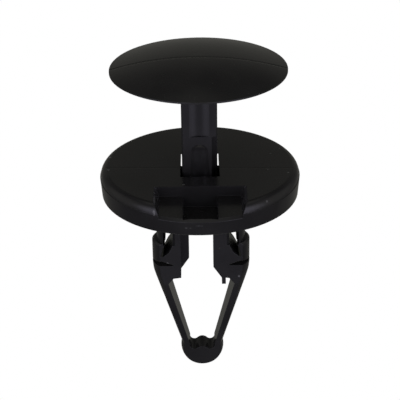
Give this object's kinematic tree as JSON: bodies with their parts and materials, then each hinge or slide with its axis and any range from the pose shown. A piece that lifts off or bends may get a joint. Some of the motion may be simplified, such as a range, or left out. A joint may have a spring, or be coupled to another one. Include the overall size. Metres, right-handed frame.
{
  "type": "plastic push rivet",
  "caption": "Black moulded push rivet: a domed pin that slides through a flanged body with barbs and V-shaped legs, for fastening panels.",
  "frame": {"origin": "top of the domed head, on the rivet's axis, where the rivet stands on a surface", "axes": "+Z along the rivet's axis from the head to the tip of the legs; X across the V of the legs; the pry notch of the flange faces -Y"},
  "size_m": [0.02, 0.02, 0.0351],
  "materials": {
    "pin_plastic": "moulded, satin",
    "body_plastic": "moulded, satin"
  },
  "bodies": {
    "retainer": {"retainer_body": "body_plastic"},
    "pin": {"push_pin": "pin_plastic"}
  },
  "joints": [
    {"name": "pin_slide", "type": "slide", "parent": "retainer", "child": "pin", "axis": [0, 0, 1], "range_m": [0, 0.0101]}
  ]
}
